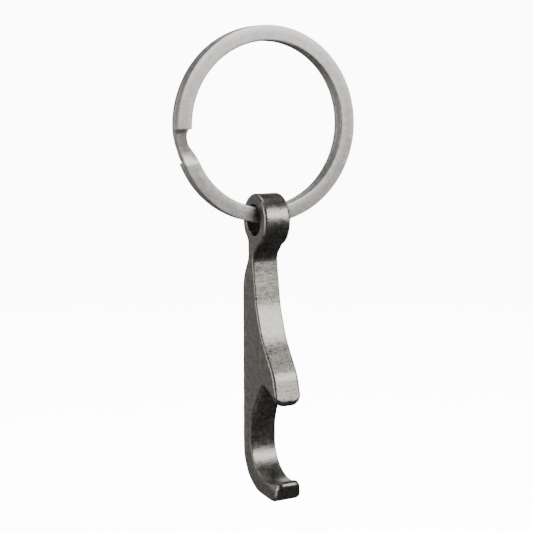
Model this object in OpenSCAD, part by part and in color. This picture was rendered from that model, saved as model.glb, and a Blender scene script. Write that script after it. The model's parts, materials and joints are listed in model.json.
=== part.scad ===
// Keychain bottle opener: a one-piece plate opener hanging in a flat two-lap split ring.
// The origin is the top of the ring's inside edge, where a hook or a peg carries it.
// +Z is up, the ring lies in the XZ plane, and the opener's beak and hook face -Y.

/* [Split ring] */
// Outside diameter of the ring
ring_od = 32; // [28:0.5:36]
// Width of the flat wire, measured along the ring's radius
wire_w = 2.55; // [2.2:0.05:3]
// Thickness of one lap
lap_t = 1.25; // [1:0.05:1.3]
// Gap between the two laps
lap_gap = 0.03; // [0.02:0.01:0.06]
// Broken edge on the wire's corners
wire_edge = 0.15; // [0.05:0.05:0.3]
// Angle of the free front end, from the ring's right-hand side
front_end_angle = 182; // [180:1:184]
// Angle of the rear end, on the same scale
rear_end_angle = 202; // [202:1:206]

/* [Opener plate] */
// Thickness of the plate
plate_t = 4.7; // [4:0.1:5]
// Outside radius of the eye
eye_r = 4.4; // [4.3:0.1:5]
// How far the eye's outside stands forward of its hole
eye_forward = 0.25; // [0:0.05:0.4]
// Radius of the hole in the eye
hole_r = 2.6; // [2.6:0.05:2.8]
// Bevel round each mouth of the hole
hole_bevel = 0.25; // [0.1:0.05:0.4]
// Distance from the hole's centre back to the flat spine
spine_y = 4.1; // [4:0.1:4.4]
// Distance from the hole's centre down to the foot of the hook
foot_drop = 46.2; // [46:0.1:47]
// Corner radius of the beak, seen from the front
beak_corner_r = 1.8; // [1:0.1:2]
// Corner radius of the hook, seen from the front
hook_corner_r = 1.1; // [0.6:0.1:1.5]

/* [Mouth] */
// Radius of the round lower half of the mouth
mouth_r = 5.6; // [5:0.05:5.7]
// Thickness of the web behind the mouth
web_t = 3.13; // [3:0.01:3.3]
// Height of the mouth's floor above the foot
floor_t = 2.75; // [2.6:0.05:2.9]
// Outside radius of the hook
hook_r = 7; // [6.6:0.1:7.6]

/* [Motion] */
// Clearance between the wire's inside edge and the top of the hole
hang_gap = 0.08; // [0.05:0.01:0.12]

/* [Hidden] */
$fn = 96;

ring_r = ring_od / 2;
wire_r = ring_r - wire_w;              // inside radius of the ring
lap_pitch = lap_t + lap_gap;
cut_gap = 0.02;                        // gap where the sprung quarter meets the rest of the lap
jog_start = rear_end_angle + 3;        // where the wire's inside edge leaves the front layer
swell_start = rear_end_angle - 0.3;    // where its back may spread over the rear layer
jog_end = front_end_angle + 1;         // where all of it has reached the rear layer
jog_narrowing = 0.2;                   // share of the wire's width lost on the way
jog_steps = 42;
jog_overlap = 1.5;                     // degrees by which the jog's ends run into the laps
jog_inset = 0.01;                      // how far the jog's skin lies under the laps' skin
titanium = [0.62, 0.61, 0.58];
steel_grey = [0.78, 0.78, 0.76];

// The wire's inside edge meets the hole's ceiling at the two mouths of the hole, where the
// wire stands highest, so that section sets the height of the hole's centre.
mouth_x = plate_t / 2 - hole_bevel;
wire_half_t = lap_t + lap_gap / 2 - wire_edge;
hole_z = -ring_r + wire_w - sqrt(wire_r * wire_r - mouth_x * mouth_x)
         + hang_gap - sqrt(hole_r * hole_r - wire_half_t * wire_half_t);

// ---- Outlines with rounded corners ----

function unit2(v) = v / norm(v);

// Points of the arc that rounds corner b between its neighbours a and c
function corner_points(a, b, c, r) =
    let (u = unit2([a.x - b.x, a.y - b.y]),
         v = unit2([c.x - b.x, c.y - b.y]),
         half = acos(u * v) / 2,
         centre = [b.x, b.y] + unit2(u + v) * r / sin(half),
         from_dir = [b.x, b.y] + u * r / tan(half) - centre,
         turn_sign = (u.x * v.y - u.y * v.x) > 0 ? -1 : 1,
         sweep = (180 - 2 * half) * turn_sign,
         steps = max(2, ceil(abs(sweep) / 7)))
    [for (i = [0 : steps])
        let (t = sweep * i / steps)
        centre + [from_dir.x * cos(t) - from_dir.y * sin(t), from_dir.x * sin(t) + from_dir.y * cos(t)]];

// Each corner is [y, z, radius]; a radius of 0 keeps the corner sharp
function rounded_outline(corners) =
    let (n = len(corners))
    [for (i = [0 : n - 1])
        each (corners[i].z == 0
              ? [[corners[i].x, corners[i].y]]
              : corner_points(corners[(i + n - 1) % n], corners[i], corners[(i + 1) % n], corners[i].z))];

// ---- Opener ----

web_y = spine_y - web_t;               // front of the web behind the mouth
mouth_floor_z = -foot_drop + floor_t;
beak_low_z = -29.75;                   // lowest line of the beak
beak_root_y = -6.2;                    // where the beak's corner rounding runs out
hook_top_z = -42.45;                   // highest line of the hook
hook_root_y = -6.6;                    // where the hook's corner rounding runs out

// Side profile, with the hole's centre at [0, 0] and the front towards negative y
blade_corners = [
    [0.3, 0, 0],
    [-2.8, -3.2, 0],                   // under the front of the eye
    [0.25, -6.1, 2],                   // front of the waist
    [-0.15, -9, 20],
    [-1.15, -14.6, 12],                // foot of the neck
    [-3.25, -19.6, 10],                // start of the slope
    [-7.4, -24.9, 5],                  // brow of the beak
    [-9.05, -30.2, 0.75],              // point of the beak
    [-7.5, -29.75, 0.3],
    [beak_root_y, -27.9, 3],           // underside of the beak
    [-3.7, -26.9, 1.2],                // roof of the mouth
    [web_y, -33.5, 9],
    [web_y, mouth_floor_z, mouth_r],
    [-5.4, mouth_floor_z, 4],          // floor of the mouth
    [-9.15, -42.05, 0.8],              // tip of the hook
    [-8.7, -foot_drop, 2.6],           // front of the foot
    [spine_y, -foot_drop, hook_r],     // back of the foot
    [spine_y, -10.2, 7],               // top of the spine
    [1.95, -6.2, 2.5],                 // back of the waist
    [2.6, -1.5, 0]
];

module opener_profile() {
    polygon(rounded_outline(blade_corners));
    translate([-eye_forward, 0]) circle(r = eye_r);
}

// What is cut away outside a rounded corner that points down and to +X, along Y
module corner_waste(r, y_from, y_to) {
    translate([0, y_to, 0]) rotate([90, 0, 0]) linear_extrude(height = y_to - y_from)
        difference() {
            translate([-r, -1]) square([r + 1, r + 1]);
            translate([-r, r]) circle(r = r);
        }
}

module opener() {
    color(titanium) translate([0, 0, hole_z]) difference() {
        rotate([90, 0, 90]) translate([0, 0, -plate_t / 2])
            linear_extrude(height = plate_t) opener_profile();
        rotate([0, 90, 0]) cylinder(r = hole_r, h = plate_t + 2, center = true);
        for (side = [0, 1]) mirror([side, 0, 0]) {
            translate([plate_t / 2 - hole_bevel, 0, 0]) rotate([0, 90, 0])
                cylinder(r1 = hole_r, r2 = hole_r + 2 * hole_bevel, h = 2 * hole_bevel);
            translate([plate_t / 2, 0, beak_low_z])
                corner_waste(beak_corner_r, -12, beak_root_y);
            translate([plate_t / 2, 0, hook_top_z]) mirror([0, 0, 1])
                corner_waste(hook_corner_r, -12, hook_root_y);
        }
    }
}

// ---- Split ring ----

// Section of the wire: x is the distance from the ring's axis, y is forward and back
module wire_section(layer_y) {
    translate([wire_r, layer_y]) polygon(section_points(0, wire_w, lap_t));
}

// A rectangle with broken corners, from x_in to x_out and height high about the middle
function section_points(x_in, x_out, height) =
    let (h = height / 2, e = wire_edge)
    [[x_in + e, -h], [x_out - e, -h], [x_out, -h + e], [x_out, h - e],
     [x_out - e, h], [x_in + e, h], [x_in, h - e], [x_in, -h + e]];

// A stretch of one lap between two angles, in the layer whose middle is at layer_y
module lap(layer_y, from_angle, to_angle) {
    rotate([90, 0, 0]) rotate([0, 0, from_angle])
        rotate_extrude(angle = to_angle - from_angle) mirror([0, 1]) wire_section(layer_y);
}

// Runs smoothly from 0 to 1 as t does
function smooth(t) = let (c = min(1, max(0, t))) c * c * (3 - 2 * c);

// The jog: the wire's four edges cross from the front layer (share 0) to the rear one (share 1)
// in turn, the inside edge first and the outside front edge last, just below the free end
module jog() {
    sides = 8;
    angle_step = (jog_start - jog_end + 2 * jog_overlap) / jog_steps;
    sections = [for (i = [0 : jog_steps])
        let (a = jog_start + jog_overlap - angle_step * i,
             inside_front = smooth((jog_start - a) / 10),
             inside_back = smooth((swell_start - a) / 8),
             outside_front = smooth((jog_end + 1.6 - a) / 1.6),
             outside_back = 0.4 * smooth((swell_start - a) / 3)
                            + 0.6 * smooth((swell_start - 3.7 - a) / (swell_start - 3.7 - jog_end)),
             narrowing = jog_narrowing * smooth((swell_start - 2.7 - a) / 9)
                         * (1 - smooth((jog_end + 3.5 - a) / 5)))
        [for (p = section_points(jog_inset, wire_w - jog_inset, lap_t - 2 * jog_inset))
            let (u = p.x / wire_w,
                 v = p.y / lap_t + 0.5,
                 share = (1 - u) * ((1 - v) * inside_front + v * inside_back)
                         + u * ((1 - v) * outside_front + v * outside_back),
                 r = ring_r - (wire_w - p.x) * (1 - narrowing))
            [r * cos(a), p.y + lap_pitch * (share - 0.5), r * sin(a)]]];
    polyhedron(
        points = [for (s = sections) each s],
        faces = concat(
            [[for (k = [sides - 1 : -1 : 0]) k]],
            [for (i = [0 : jog_steps - 1]) for (k = [0 : sides - 1])
                let (a = i * sides + k, b = i * sides + (k + 1) % sides)
                each [[a, b + sides, a + sides], [a, b, b + sides]]],
            [[for (k = [0 : sides - 1]) jog_steps * sides + k]]));
}

module split_ring() {
    color(steel_grey) translate([0, 0, -wire_r]) {
        difference() {
            lap(-lap_pitch / 2, jog_start, 360 + 90);
            translate([-cut_gap, -5, 0]) cube([cut_gap, 5, ring_r + 1]);
        }
        jog();
        lap(lap_pitch / 2, rear_end_angle, 360 + jog_end);
    }
}

module ring_free_end() {
    color(steel_grey) translate([0, 0, -wire_r])
        difference() {
            lap(-lap_pitch / 2, 90, front_end_angle);
            translate([-cut_gap, -5, 0]) cube([1, 5, ring_r + 1]);
        }
}

opener();
split_ring();
ring_free_end();
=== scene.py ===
import json
import math

import bpy
import numpy as np
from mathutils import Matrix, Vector
from mathutils.geometry import tessellate_polygon


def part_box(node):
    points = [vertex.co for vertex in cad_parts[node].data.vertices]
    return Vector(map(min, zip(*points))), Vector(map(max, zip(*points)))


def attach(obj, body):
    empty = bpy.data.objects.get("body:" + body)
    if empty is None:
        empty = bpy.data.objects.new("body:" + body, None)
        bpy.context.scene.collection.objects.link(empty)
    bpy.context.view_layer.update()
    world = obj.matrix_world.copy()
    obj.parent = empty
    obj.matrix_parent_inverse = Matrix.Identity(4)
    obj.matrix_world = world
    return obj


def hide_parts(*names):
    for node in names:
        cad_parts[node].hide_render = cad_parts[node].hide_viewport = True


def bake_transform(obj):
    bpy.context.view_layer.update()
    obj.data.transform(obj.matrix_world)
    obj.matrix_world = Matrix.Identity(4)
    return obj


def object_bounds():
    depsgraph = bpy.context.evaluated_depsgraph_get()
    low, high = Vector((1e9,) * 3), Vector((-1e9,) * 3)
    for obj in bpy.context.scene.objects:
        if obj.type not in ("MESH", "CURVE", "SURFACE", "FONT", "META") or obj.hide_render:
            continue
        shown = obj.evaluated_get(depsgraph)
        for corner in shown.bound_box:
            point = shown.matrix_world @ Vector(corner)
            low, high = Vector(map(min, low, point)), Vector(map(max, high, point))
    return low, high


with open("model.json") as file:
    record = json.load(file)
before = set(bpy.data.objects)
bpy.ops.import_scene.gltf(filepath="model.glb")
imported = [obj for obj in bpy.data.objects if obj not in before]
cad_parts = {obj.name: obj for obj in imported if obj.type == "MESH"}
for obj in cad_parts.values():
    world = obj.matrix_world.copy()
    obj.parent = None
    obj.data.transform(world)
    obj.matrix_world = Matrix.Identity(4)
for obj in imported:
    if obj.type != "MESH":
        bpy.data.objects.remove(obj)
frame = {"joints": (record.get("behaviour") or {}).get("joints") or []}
cadLow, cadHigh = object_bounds()
mm = 0.001
print("frame loaded")


def gridQuads(rows, columns, wrapRows=False, wrapColumns=False, first=0):
    # Four-sided faces between neighbouring rows and columns; a wrapped direction joins its last to its first
    r = np.arange(rows if wrapRows else rows - 1)[:, None]
    c = np.arange(columns if wrapColumns else columns - 1)[None, :]
    r2, c2 = (r + 1) % rows, (c + 1) % columns
    quads = np.stack(np.broadcast_arrays(r * columns + c, r2 * columns + c, r2 * columns + c2, r * columns + c2), -1)
    return quads.reshape(-1, 4) + first


def bridgeQuads(ringA, ringB):
    # Faces between two closed rings of equal length, given as vertex numbers
    return np.stack([ringA, np.roll(ringA, -1), np.roll(ringB, -1), ringB], -1)


def makeObject(name, points, quads, triangles=None):
    # One mesh from whole arrays, with its faces turned outwards by the sign of the volume they enclose
    triangles = np.zeros((0, 3), int) if triangles is None else triangles
    halves = np.concatenate([quads[:, [0, 1, 2]], quads[:, [0, 2, 3]], triangles])
    a, b, c = points[halves[:, 0]], points[halves[:, 1]], points[halves[:, 2]]
    if np.einsum("ij,ij->i", a, np.cross(b, c)).sum() < 0:
        quads, triangles = quads[:, ::-1], triangles[:, ::-1]
    mesh = bpy.data.meshes.new(name)
    mesh.from_pydata(points.tolist(), [], quads.tolist() + triangles.tolist())
    smooth = np.arange(len(quads) + len(triangles)) < len(quads)
    mesh.polygons.foreach_set("use_smooth", smooth)
    mesh.update()
    made = bpy.data.objects.new(name, mesh)
    bpy.context.scene.collection.objects.link(made)
    return made


def addAttribute(piece, name, values):
    piece.data.attributes.new(name, "FLOAT", "POINT").data.foreach_set("value", values.astype(np.float32))


def smoothStep(t):
    t = np.clip(t, 0, 1)
    return t * t * (3 - 2 * t)


cameraView = dict(
    place=(-86.9, -176.1, -6.3),   # millimetres from the top of the ring's inside edge
    azimuth=-26.3,                 # degrees round from straight ahead, negative to the left
    lookDown=8.85,                 # degrees below the horizon
    lens=80.7,
)


def makeCamera():
    data = bpy.data.cameras.new("camera")
    data.lens = cameraView["lens"]
    data.clip_start, data.clip_end = 0.005, 20
    camera = bpy.data.objects.new("camera", data)
    camera.location = Vector(cameraView["place"]) * mm
    camera.rotation_euler = (math.radians(90 - cameraView["lookDown"]), 0, math.radians(cameraView["azimuth"]))
    bpy.context.scene.collection.objects.link(camera)
    bpy.context.scene.camera = camera


makeCamera()
print("camera placed")


# Side profile as corners (forward and back, up and down, rounding radius) from the hole's centre, in millimetres
openerShape = dict(
    corners=[
        (0.3, 0, 0), (-2.8, -3.2, 0), (0.25, -6.1, 2), (-0.15, -9, 20), (-1.15, -14.6, 12), (-3.25, -19.6, 10),
        (-7.4, -24.9, 5), (-9.05, -30.2, 0.75), (-7.5, -29.75, 0.3), (-6.2, -27.9, 3), (-3.7, -26.9, 1.2),
        (0.97, -33.5, 9), (0.97, -43.45, 5.6), (-5.4, -43.45, 4), (-9.15, -42.05, 0.8), (-8.7, -46.2, 2.6),
        (4.1, -46.2, 7), (4.1, -10.2, 7), (1.95, -6.2, 2.5), (2.6, -1.5, 0)],
    eyeRadius=4.4, eyeForward=0.25, holeRadius=2.6,
    pointSpacing=0.1,              # between points along the outline
    edgeRadius=0.34,               # rounding of the long edges
    slopeEdgeRadius=0.48,          # rounding on the slope down to the beak
    eyeEdgeRadius=0.55,
    hookEdgeRadius=0.7, hookEdgeReach=2.2,        # softer edges near the hook's tip
    mouthEdgeRadius=0.25,          # rounding inside the mouth
    slopeTop=-18, slopeRun=7,      # where the long edges start to soften, and over what height
    spineFront=2.5,                # further back than this, the edge is the spine's
    eyeFoot=-5, eyeRun=1.5,        # the same for the eye's edges, going up
    mouthDepth=(-8, 2.4), mouthHeight=(-44.2, -25.5),
    beakBackFoot=-31,              # above this, a wall that faces back belongs to the beak's front
    holeEdgeRadius=0.25,
    beakCornerRadius=1.7, hookCornerRadius=1.5,   # corners of the tips, seen from the front
    beakAxis=(-0.25, -0.97), hookAxis=(-0.55, 0.83), tipReach=2.6,
)


def cornerArc(before, corner, after, radius):
    # Arc of the given radius that touches both lines meeting at the corner, turned from one to the other
    if radius == 0:
        return corner[None, :]
    u = (before - corner) / np.linalg.norm(before - corner)
    v = (after - corner) / np.linalg.norm(after - corner)
    half = math.acos(np.clip(u @ v, -1, 1)) / 2
    bisector = (u + v) / np.linalg.norm(u + v)
    centre = corner + bisector * radius / math.sin(half)
    start = corner + u * radius / math.tan(half) - centre
    turn = (math.pi - 2 * half) * (-1 if u[0] * v[1] - u[1] * v[0] > 0 else 1)
    t = np.linspace(0, turn, max(4, int(abs(turn) / 0.03)))
    return centre + np.stack([start[0] * np.cos(t) - start[1] * np.sin(t), start[0] * np.sin(t) + start[1] * np.cos(t)], -1)


def evenlySpaced(outline, spacing):
    # The same closed outline with points at equal steps of its length
    closed = np.vstack([outline, outline[:1]])
    length = np.concatenate([[0], np.cumsum(np.linalg.norm(np.diff(closed, axis=0), axis=1))])
    stations = np.linspace(0, length[-1], int(length[-1] / spacing) + 1)[:-1]
    return np.stack([np.interp(stations, length, closed[:, k]) for k in (0, 1)], -1), stations


def softened(values, width):
    # Running average round a closed outline, weighted by a bell curve that is width points wide
    n = len(values)
    offset = (np.arange(n) + n // 2) % n - n // 2
    bell = np.exp(-0.5 * (offset / width) ** 2)
    spectrum = np.fft.fft(bell / bell.sum())
    if values.ndim == 1:
        return np.fft.ifft(np.fft.fft(values) * spectrum).real
    return np.fft.ifft(np.fft.fft(values, axis=0) * spectrum[:, None], axis=0).real


def openerOutline():
    # The blade's rounded corners, with the part inside the eye's circle swapped for the circle's own arc
    s = openerShape
    corners = np.array([c[:2] for c in s["corners"]], float)
    radii = [c[2] for c in s["corners"]]
    n = len(corners)
    blade = np.vstack([cornerArc(corners[i - 1], corners[i], corners[(i + 1) % n], radii[i]) for i in range(n)])
    blade, _ = evenlySpaced(blade, s["pointSpacing"])
    eye = np.array([-s["eyeForward"], 0])
    outside = np.linalg.norm(blade - eye, axis=1) > s["eyeRadius"]
    firstOut = np.flatnonzero(outside & ~np.roll(outside, 1))[0]
    blade, outside = np.roll(blade, -firstOut, axis=0), np.roll(outside, -firstOut)
    blade = blade[outside]
    start, end = blade[-1] - eye, blade[0] - eye
    a0 = math.atan2(start[1], start[0])
    a1 = math.atan2(end[1], end[0])
    a1 += 2 * math.pi if a1 < a0 else 0
    a = np.linspace(a0, a1, 260)[1:-1]
    circle = eye + s["eyeRadius"] * np.stack([np.cos(a), np.sin(a)], -1)
    outline, stations = evenlySpaced(np.vstack([blade, circle]), s["pointSpacing"])
    return softened(outline, 1.6), stations


def nearness(points, place, reach):
    return np.exp(-((points - np.array(place)) ** 2).sum(-1) / reach ** 2)


def roundedTips(points, halfThickness):
    # Draws the beak and the hook back towards their roots near the plate's faces, so that each ends in
    # corners of one radius when it is seen from the front; the pull fades out over the tip's reach
    s = openerShape
    for axis, tip, r in ((s["beakAxis"], s["beakTip"], s["beakCornerRadius"]),
                         (s["hookAxis"], s["hookTip"], s["hookCornerRadius"])):
        over = np.clip(np.abs(points[:, 0]) - (halfThickness - r), 0, r * 0.98)
        drop = r - np.sqrt(r * r - over * over)
        axis = np.array(axis) / np.linalg.norm(axis)
        along = (points[:, 1:] - tip) @ axis
        near = nearness(points[:, 1:], tip, 3.4)
        share = smoothStep(1 + along / s["tipReach"]) * np.clip(near * 3, 0, 1)
        points[:, 1:] -= axis * (drop * share)[:, None]
    return points


def makeOpener():
    # Rim: the outline carried across the plate, drawn in along a quarter ellipse at both faces.
    # Faces: the drawn-in outline, filled round the hole. Hole: a circle carried across in the same way.
    s = openerShape
    half = (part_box("opener")[1][0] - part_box("opener")[0][0]) / 2 / mm
    centre = np.array(next(j for j in frame["joints"] if j["name"] == "opener_swing")["pos_m"])
    outline, stations = openerOutline()
    s["beakTip"] = outline[np.argmin(outline[:, 1] + 100 * (outline[:, 0] > -7.3) + 100 * (outline[:, 1] < -35))]
    s["hookTip"] = outline[np.argmin(outline[:, 0] + 100 * (outline[:, 1] > -35))]
    tangent = np.roll(outline, -1, 0) - np.roll(outline, 1, 0)
    tangent /= np.linalg.norm(tangent, axis=1)[:, None]
    inward = np.stack([-tangent[:, 1], tangent[:, 0]], -1)
    area = np.sum(outline[:, 0] * np.roll(outline[:, 1], -1) - outline[:, 1] * np.roll(outline[:, 0], -1))
    inward *= np.sign(area)
    y, z = outline.T
    onSlope = smoothStep((s["slopeTop"] - z) / s["slopeRun"]) * (y < s["spineFront"])
    edge = s["edgeRadius"] + (s["slopeEdgeRadius"] - s["edgeRadius"]) * onSlope
    edge += (s["eyeEdgeRadius"] - edge) * smoothStep((z - s["eyeFoot"]) / s["eyeRun"])
    (mouthFront, mouthBack), (mouthFloor, mouthRoof) = s["mouthDepth"], s["mouthHeight"]
    inMouth = (y > mouthFront) & (y < mouthBack) & (z < mouthRoof) & (z > mouthFloor) & (inward[:, 0] > -0.85)
    inMouth &= ~((z > s["beakBackFoot"]) & (inward[:, 0] > 0.7))
    edge += (s["mouthEdgeRadius"] - edge) * inMouth
    edge += (s["hookEdgeRadius"] - edge) * np.clip(2 * nearness(outline, s["hookTip"], s["hookEdgeReach"]), 0, 1)
    edge = softened(edge, 7) * (1 + 0.06 * np.sin(stations / 1.7) + 0.05 * np.sin(stations / 0.63 + 1))

    arcSteps, flatSteps = 7, 12
    quarter = np.linspace(0, math.pi / 2, arcSteps + 1)
    across = np.linspace(-1, 1, flatSteps + 1)[1:-1]
    drawIn = np.concatenate([1 - np.sin(quarter), 0 * across, (1 - np.sin(quarter))[::-1]])[None, :]
    fromFace = np.concatenate([1 - np.cos(quarter), 0 * across, -(1 - np.cos(quarter))[::-1]])[None, :]
    side = np.concatenate([-np.ones(arcSteps + 1), across, np.ones(arcSteps + 1)])[None, :]

    def carriedAcross(line, direction, radius, faceRadius):
        # Points of a line of points at every step across the plate
        flatHalf = half - faceRadius[:, None]
        inFlat = (np.abs(side) < 1)
        x = np.where(inFlat, side * flatHalf, side * half + fromFace * faceRadius[:, None])
        inset = drawIn * radius[:, None]
        return np.concatenate([x[..., None], line[:, None, :] + direction[:, None, :] * inset[..., None]], -1)

    rim = carriedAcross(outline, inward, edge, np.maximum(edge, 0.3))
    turns = np.linspace(0, 2 * math.pi, 181)[:-1]
    circle = np.stack([np.cos(turns), np.sin(turns)], -1)
    holeEdge = np.full(len(turns), s["holeEdgeRadius"])
    hole = carriedAcross(circle * s["holeRadius"], circle, holeEdge, holeEdge)
    rows, columns = rim.shape[:2]
    holeRows = hole.shape[0]
    points = [rim.reshape(-1, 3), hole.reshape(-1, 3)]
    quads = [gridQuads(rows, columns, wrapRows=True),
             gridQuads(holeRows, columns, wrapRows=True, first=rows * columns)[:, ::-1]]
    triangles = []
    count = rows * columns + holeRows * columns
    for column, x in ((0, -half), (columns - 1, half)):
        rimRing = np.arange(rows) * columns + column
        holeRing = np.arange(holeRows) * columns + column + rows * columns
        support = points[0][rimRing] + np.concatenate([np.zeros((rows, 1)), inward * 0.07], 1)
        holeSupport = points[1][holeRing - rows * columns]
        holeSupport = holeSupport + np.concatenate([np.zeros((holeRows, 1)), circle * 0.07], 1)
        supportRing = np.arange(rows) + count
        holeSupportRing = np.arange(holeRows) + count + rows
        points += [support, holeSupport]
        count += rows + holeRows
        outer, inner = support[:, 1:], holeSupport[:, 1:]
        filled = tessellate_polygon([[Vector((p[0], p[1], 0)) for p in outer],
                                     [Vector((p[0], p[1], 0)) for p in inner[::-1]]])
        numbers = np.concatenate([supportRing, holeSupportRing[::-1]])
        tris = numbers[np.array(filled)]
        ringQuads = bridgeQuads(rimRing, supportRing)
        holeQuads = bridgeQuads(holeRing, holeSupportRing)[:, ::-1]
        flip = slice(None, None, -1) if column == 0 else slice(None)
        quads += [ringQuads[:, flip], holeQuads[:, flip]]
        allPoints = np.vstack(points)
        normal = np.cross(allPoints[tris[:, 1]] - allPoints[tris[:, 0]], allPoints[tris[:, 2]] - allPoints[tris[:, 0]])
        outwards = np.sign(normal[:, 0]) == np.sign(x)
        tris[~outwards] = tris[~outwards][:, ::-1]
        triangles.append(tris)
    points = roundedTips(np.vstack(points), half)
    quads, triangles = np.vstack(quads), np.vstack(triangles)
    piece = makeObject("openerBody", points * mm + centre, quads, triangles)

    onRim = np.zeros(len(points))
    onRim[:rows * columns] = 1
    # Edge mark for the material, strongest halfway round each rounded edge and round the hole: real wear plus a painted
    # highlight
    wearAndHighlight = np.zeros(len(points))
    rounding = np.concatenate([np.sin(2 * quarter), 0 * across, np.sin(2 * quarter)[::-1]])
    wearAndHighlight[:rows * columns] = np.broadcast_to(rounding, (rows, columns)).reshape(-1)
    wearAndHighlight[rows * columns:(rows + holeRows) * columns] = np.broadcast_to(rounding, (holeRows, columns)).reshape(-1)
    along = np.zeros(len(points))
    along[:rows * columns] = np.repeat(stations, columns)
    addAttribute(piece, "onRim", onRim)
    addAttribute(piece, "edgeWearAndPaintedHighlight", wearAndHighlight)
    addAttribute(piece, "alongRim", along * mm)
    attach(piece, "opener")
    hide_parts("opener")
    return piece


opener = makeOpener()
print("opener made:", len(opener.data.polygons), "faces")


ringShape = dict(
    wireWidth=2.55, lapThickness=1.25, lapPitch=1.28,
    innerEdgeRadius=0.3, outerEdgeRadius=0.18,
    frontEnd=182, rearEnd=-518,    # degrees, falling along the wire from its front end
    jogStart=-155,                 # where the inside edge leaves the front layer
    swellStart=-158.3,             # where the back starts to spread over the rear layer
    jogEnd=-177,                   # where all of the wire has reached the rear layer
    jogNarrowing=0.2,              # share of the width lost on the way
    endRounding=0.12,
    stepLength=0.16, jogStepLength=0.05,
)


def wireSection(width, thickness, innerRadius, outerRadius):
    # A rectangle with quarter-circle corners, inner edge at 0 and outer edge at the width, walked once round
    t = np.linspace(0, math.pi / 2, 7)
    quarter = np.stack([np.cos(t), np.sin(t)], -1)
    h = thickness / 2
    places = [((width - outerRadius, h - outerRadius), outerRadius, 0), ((innerRadius, h - innerRadius), innerRadius, 1),
              ((innerRadius, -h + innerRadius), innerRadius, 2), ((width - outerRadius, -h + outerRadius), outerRadius, 3)]
    corners = []
    for centre, radius, turns in places:
        a = turns * math.pi / 2
        turned = quarter @ np.array([[math.cos(a), math.sin(a)], [-math.sin(a), math.cos(a)]])
        corners.append(np.array(centre) + radius * turned)
    joined = np.vstack(corners + [corners[0][:1]])
    return np.vstack([np.linspace(p, q, 3 if np.linalg.norm(q - p) > 0.4 else 2)[:-1]
                      for p, q in zip(joined[:-1], joined[1:])])


def wireStretch(name, fromAngle, toAngle, roundStart, roundEnd):
    # The wire's section carried along the coil at a steady pace. In the jog its four edges cross from the
    # front layer (share 0) to the rear one (share 1) in turn, each by a smooth step, the inside edge first.
    s = ringShape
    low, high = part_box("split_ring")
    outer = (high[0] - low[0]) / 2 / mm
    centreZ = (high[2] + low[2]) / 2 / mm
    middleRadius = outer - s["wireWidth"] / 2
    length = math.radians(fromAngle - toAngle) * middleRadius
    station = np.linspace(0, length, int(length / s["stepLength"]) + 1)
    jogPlaces = np.radians(fromAngle - np.array([s["jogStart"], s["jogEnd"]])) * middleRadius
    station = np.concatenate([station[station < jogPlaces[0]], np.arange(*jogPlaces, s["jogStepLength"]),
                              station[station > jogPlaces[1]]])
    station = station[(station >= 0) & (station <= length)]
    r = s["endRounding"]
    fine = r * (1 - np.cos(np.linspace(0, math.pi / 2, 6)))
    if roundStart:
        station = np.concatenate([fine[:-1], station[station > r * 1.3]])
    if roundEnd:
        station = np.concatenate([station[station < length - r * 1.3], length - fine[:-1][::-1]])
    angle = fromAngle - np.degrees(station / middleRadius)
    spreadStart = s["swellStart"] - 3.7
    insideFront = smoothStep((s["jogStart"] - angle) / 10)
    insideBack = smoothStep((s["swellStart"] - angle) / 8)
    outsideFront = smoothStep((s["jogEnd"] + 1.6 - angle) / 1.6)
    outsideBack = (0.4 * smoothStep((s["swellStart"] - angle) / 3)
                   + 0.6 * smoothStep((spreadStart - angle) / (spreadStart - s["jogEnd"])))
    narrowing = (s["jogNarrowing"] * smoothStep((s["swellStart"] - 2.7 - angle) / 9)
                 * (1 - smoothStep((s["jogEnd"] + 3.5 - angle) / 5)))
    section = wireSection(s["wireWidth"], s["lapThickness"], s["innerEdgeRadius"], s["outerEdgeRadius"])
    toEnd = np.minimum(station if roundStart else station + 9, length - station if roundEnd else station * 0 + 9)
    shrink = r - np.sqrt(np.clip(r * r - np.clip(r - toEnd, 0, r) ** 2, 0, None))
    u = (section[:, 0] / s["wireWidth"])[None, :]
    v = (section[:, 1] / s["lapThickness"] + 0.5)[None, :]
    share = ((1 - u) * ((1 - v) * insideFront[:, None] + v * insideBack[:, None])
             + u * ((1 - v) * outsideFront[:, None] + v * outsideBack[:, None]))
    across = (u - 0.5) * (s["wireWidth"] - 2 * shrink)[:, None]
    depth = (v - 0.5) * (s["lapThickness"] - 2 * shrink)[:, None] + s["lapPitch"] * (share - 0.5)
    radius = outer - (s["wireWidth"] / 2 - across) * (1 - narrowing)[:, None]
    a = np.radians(angle)[:, None]
    points = np.stack([radius * np.cos(a), depth, radius * np.sin(a) + centreZ], -1)
    rows, columns = points.shape[:2]
    caps = np.stack([points[0].mean(0), points[-1].mean(0)])
    quads = gridQuads(rows, columns, wrapColumns=True)
    k = np.arange(columns)
    last = (rows - 1) * columns
    startCap = np.stack([(k + 1) % columns, k, np.full(columns, rows * columns)], -1)
    endCap = np.stack([k + last, (k + 1) % columns + last, np.full(columns, rows * columns + 1)], -1)
    allPoints = np.vstack([points.reshape(-1, 3), caps])
    piece = makeObject(name, allPoints * mm, quads, np.vstack([startCap, endCap])[:, ::-1])
    # Corner mark on the section's rounded corners: real wear plus a painted highlight
    cornerWearAndHighlight = np.zeros(columns)
    lengths = np.linalg.norm(np.roll(section, -1, 0) - section, axis=1)
    cornerWearAndHighlight[np.minimum(lengths, np.roll(lengths, 1)) < 0.12] = 1
    wearAndHighlight = np.concatenate([np.broadcast_to(cornerWearAndHighlight, (rows, columns)).reshape(-1), [0, 0]])
    addAttribute(piece, "edgeWearAndPaintedHighlight", wearAndHighlight)
    return piece


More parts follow.
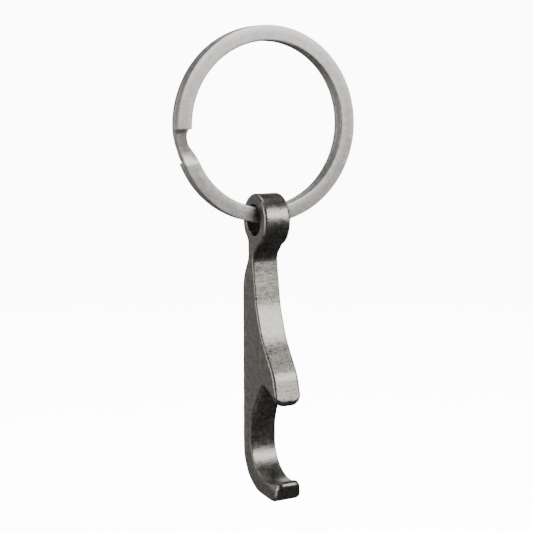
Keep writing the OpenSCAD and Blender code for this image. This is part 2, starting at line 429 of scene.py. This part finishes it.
hiddenJoin = -90                  # the two stretches of wire meet inside the opener's eye
frontLap = wireStretch("frontLap", ringShape["frontEnd"], hiddenJoin, True, False)
rearLap = wireStretch("rearLap", hiddenJoin, ringShape["rearEnd"], False, True)
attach(rearLap, "split_ring")
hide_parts("split_ring")
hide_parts("ring_free_end")
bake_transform(frontLap)
print("ring made:", len(frontLap.data.polygons) + len(rearLap.data.polygons), "faces")


def nodeKit(material):
    # Short ways to add a node and to link its sockets
    nodes, links = material.node_tree.nodes, material.node_tree.links

    def add(kind, values=None, **settings):
        node = nodes.new(kind)
        for key, value in settings.items():
            setattr(node, key, value)
        for socket, value in (values or {}).items():
            if isinstance(value, bpy.types.NodeSocket):
                links.new(value, node.inputs[socket])
            else:
                node.inputs[socket].default_value = value
        return node

    return nodes, links, add


def newMetal(name, roughness):
    material = bpy.data.materials.new(name)
    material.use_nodes = True
    nodes, links, add = nodeKit(material)
    shader = nodes["Principled BSDF"]
    shader.inputs["Metallic"].default_value = 1.0
    shader.inputs["Roughness"].default_value = roughness
    return material, shader, links, add


noiseMiddle = (0.37, 0.63)         # the range that most of a noise's values fall in


def spread(add, value, low, high):
    # Stretches a noise's middle range to run from low to high
    return add("ShaderNodeMapRange", {"Value": value, "From Min": noiseMiddle[0], "From Max": noiseMiddle[1],
                                      "To Min": low, "To Max": high}).outputs[0]


titaniumLook = dict(
    # The paler edge colour is partly real wear and partly a painted highlight
    dark=(0.20, 0.192, 0.178, 1), light=(0.44, 0.43, 0.405, 1), wornAndHighlitEdge=(0.66, 0.65, 0.62, 1),
    blotchSize=1.1, grainSize=0.3, lineSpacing=0.36,
    roughness=(0.27, 0.42), wornRoughness=0.22, bump=0.55,
)


def metalTone(add, place, look):
    # Half broad blotches and half fine grain, both noises in millimetres
    blotch = add("ShaderNodeTexNoise", {"Vector": place, "Scale": 1 / (look["blotchSize"] * mm), "Detail": 4, "Roughness": 0.62})
    grain = add("ShaderNodeTexNoise", {"Vector": place, "Scale": 1 / (look["grainSize"] * mm), "Detail": 2, "Roughness": 0.6})
    half = add("ShaderNodeMath", {0: blotch.outputs["Fac"], 1: 0.5}, operation="MULTIPLY").outputs[0]
    return add("ShaderNodeMath", {0: grain.outputs["Fac"], 1: 0.5, 2: half}, operation="MULTIPLY_ADD").outputs[0], grain


def colourMix(add, factor, a, b):
    # A blend of two colours; the Mix node's colour inputs are its seventh and eighth
    mix = add("ShaderNodeMix", data_type="RGBA")
    for index, value in ((6, a), (7, b)):
        if isinstance(value, bpy.types.NodeSocket):
            mix.id_data.links.new(value, mix.inputs[index])
        else:
            mix.inputs[index].default_value = value
    mix.id_data.links.new(factor, mix.inputs[0])
    return mix.outputs[2]


def wearAndHighlightMask(add, tone):
    # The edge attribute, broken up where the tone is low: real edge wear plus a painted highlight along the rounded
    # edges
    wearAndHighlight = add("ShaderNodeAttribute", attribute_name="edgeWearAndPaintedHighlight").outputs["Fac"]
    return add("ShaderNodeMath", {0: wearAndHighlight, 1: spread(add, tone, 0.35, 1)}, operation="MULTIPLY").outputs[0]


def titanium():
    # Stonewashed titanium: blotches and fine grain on all sides, milling lines across the rim, paler edges that are
    # partly rubbed wear and partly a painted highlight
    look = titaniumLook
    material, shader, links, add = newMetal("stonewashedTitanium", 0.42)
    place = add("ShaderNodeTexCoord").outputs["Object"]
    tone, grain = metalTone(add, place, look)
    wornAndHighlit = wearAndHighlightMask(add, tone)
    along = add("ShaderNodeAttribute", attribute_name="alongRim").outputs["Fac"]
    onRim = add("ShaderNodeAttribute", attribute_name="onRim").outputs["Fac"]
    x = add("ShaderNodeSeparateXYZ", {"Vector": place}).outputs["X"]
    acrossScaled = add("ShaderNodeMath", {0: x, 1: 1 / (2.5 * mm)}, operation="MULTIPLY").outputs[0]
    alongScaled = add("ShaderNodeMath", {0: along, 1: 1 / (look["lineSpacing"] * mm)}, operation="MULTIPLY").outputs[0]
    lineVector = add("ShaderNodeCombineXYZ", {"X": acrossScaled, "Y": alongScaled}).outputs[0]
    lines = add("ShaderNodeTexNoise", {"Vector": lineVector, "Scale": 1.0, "Detail": 3, "Roughness": 0.7})
    rimLines = add("ShaderNodeMath", {0: lines.outputs["Fac"], 1: onRim}, operation="MULTIPLY").outputs[0]
    base = colourMix(add, spread(add, tone, 0, 1), look["dark"], look["light"])
    # Edges take the paler colour: real wear plus a painted highlight
    links.new(colourMix(add, wornAndHighlit, base, look["wornAndHighlitEdge"]), shader.inputs["Base Color"])
    rough = spread(add, tone, *look["roughness"])
    mostPolish = look["roughness"][0] - look["wornRoughness"]
    polish = add("ShaderNodeMapRange", {"Value": wornAndHighlit, "To Min": 0, "To Max": mostPolish}).outputs[0]
    links.new(add("ShaderNodeMath", {0: rough, 1: polish}, operation="SUBTRACT").outputs[0], shader.inputs["Roughness"])
    height = add("ShaderNodeMath", {0: rimLines, 1: 0.9, 2: grain.outputs["Fac"]}, operation="MULTIPLY_ADD").outputs[0]
    bump = add("ShaderNodeBump", {"Height": height, "Strength": look["bump"], "Distance": 0.05 * mm})
    links.new(bump.outputs[0], shader.inputs["Normal"])
    return material


ringLook = dict(
    # The paler corner colour is partly real wear and partly a painted highlight
    dark=(0.54, 0.53, 0.505, 1), light=(0.8, 0.79, 0.765, 1), wornAndHighlitEdge=(0.92, 0.915, 0.9, 1),
    blotchSize=0.9, grainSize=0.3, roughness=(0.44, 0.56), bump=0.8,
)


def ringMetal():
    # Bead-blasted metal: pale and even, with a fine mottle and brighter broken edges, partly real wear and partly a
    # painted highlight
    look = ringLook
    material, shader, links, add = newMetal("blastedRing", 0.5)
    place = add("ShaderNodeTexCoord").outputs["Object"]
    tone, grain = metalTone(add, place, look)
    base = colourMix(add, spread(add, tone, 0, 1), look["dark"], look["light"])
    # Corners take the paler colour: real wear plus a painted highlight
    links.new(colourMix(add, wearAndHighlightMask(add, tone), base, look["wornAndHighlitEdge"]), shader.inputs["Base Color"])
    links.new(spread(add, tone, *look["roughness"]), shader.inputs["Roughness"])
    bump = add("ShaderNodeBump", {"Height": grain.outputs["Fac"], "Strength": look["bump"], "Distance": 0.04 * mm})
    links.new(bump.outputs[0], shader.inputs["Normal"])
    return material


opener.data.materials.append(titanium())
ringMaterial = ringMetal()
frontLap.data.materials.append(ringMaterial)
rearLap.data.materials.append(ringMaterial)
print("materials set")


studio = dict(
    floorDrop=70,                  # millimetres from the foot of the hook down to the floor
    flatRadius=0.8, bendRadius=0.4, wallHeight=1.5,   # metres
    panels=[                       # name, place (mm), aim (mm), size (mm), watts: softboxes that the metal mirrors
        ("key", (112, -228, 124), (0, 0, 0), (230, 135), 0.5),
        ("leftBack", (-118, 228, -40), (0, 0, -45), (230, 260), 0.05),
        ("leftStrip", (-300, 40, -20), (0, 0, -35), (60, 260), 0.22),
        ("overhead", (0, 60, 330), (0, 0, -30), (160, 160), 0.3),
        ("backGlow", (150, 300, 30), (0, 0, -35), (260, 130), 0.2),
        ("ringFront", (105, -212, 42), (0, 0, 0), (150, 40), 0.11),
    ],
    washes=[                       # the same, for lights that only whiten the floor and the wall
        ("floorWash", (0, 100, 900), (0, 250, -145), (1400, 1400), 90),
        ("wallWash", (0, -350, 500), (0, 900, 250), (1200, 800), 90),
    ],
    panelColour=(1, 0.965, 0.935),
    worldTone=0.06,
)


def makeFloor():
    # A bowl turned about the vertical: level, then a quarter circle, then an upright wall all round
    s = studio
    t = np.linspace(0, math.pi / 2, 24)
    wallRadius = s["flatRadius"] + s["bendRadius"]
    radius = np.concatenate([[s["flatRadius"] / 4], s["flatRadius"] + s["bendRadius"] * np.sin(t), [wallRadius]])
    z = np.concatenate([[0], s["bendRadius"] * (1 - np.cos(t)), [s["wallHeight"]]])
    turn = np.linspace(0, 2 * math.pi, 97)[:-1]
    grid = np.stack([radius[:, None] * np.cos(turn), radius[:, None] * np.sin(turn), z[:, None] + 0 * turn], -1)
    points = np.vstack([grid.reshape(-1, 3), [[0, 0, 0]]]) + np.array([0, 0, cadLow[2] - s["floorDrop"] * mm])
    k = np.arange(len(turn))
    middle = np.stack([k, (k + 1) % len(turn), np.full(len(turn), len(points) - 1)], -1)
    mesh = bpy.data.meshes.new("floor")
    mesh.from_pydata(points.tolist(), [], gridQuads(len(z), len(turn), wrapColumns=True).tolist() + middle.tolist())
    mesh.polygons.foreach_set("use_smooth", np.ones(len(mesh.polygons), bool))
    floor = bpy.data.objects.new("floor", mesh)
    bpy.context.scene.collection.objects.link(floor)
    material = bpy.data.materials.new("paleFloor")
    material.use_nodes = True
    shader = material.node_tree.nodes["Principled BSDF"]
    shader.inputs["Base Color"].default_value = (0.93, 0.93, 0.93, 1)
    shader.inputs["Roughness"].default_value = 0.9
    mesh.materials.append(material)
    floor.visible_glossy = False


def makeLights():
    # Rectangular panels aimed at a point; the camera never sees a panel, and the metal never mirrors a wash
    lights = [(row, True) for row in studio["panels"]] + [(row, False) for row in studio["washes"]]
    for (name, place, aim, size, watts), mirrored in lights:
        data = bpy.data.lights.new(name, "AREA")
        data.shape = "RECTANGLE"
        data.size, data.size_y = size[0] * mm, size[1] * mm
        data.energy = watts
        data.color = studio["panelColour"] if mirrored else (1, 1, 1)
        light = bpy.data.objects.new(name, data)
        light.location = Vector(place) * mm
        light.rotation_euler = (Vector(aim) - Vector(place)).to_track_quat("-Z", "Y").to_euler()
        light.visible_camera = False
        light.visible_glossy = mirrored
        bpy.context.scene.collection.objects.link(light)
    world = bpy.data.worlds.new("studio")
    world.use_nodes = True
    tone = studio["worldTone"]
    world.node_tree.nodes["Background"].inputs["Color"].default_value = (tone, tone, tone, 1)
    bpy.context.scene.world = world


makeFloor()
makeLights()
print("floor and light set")
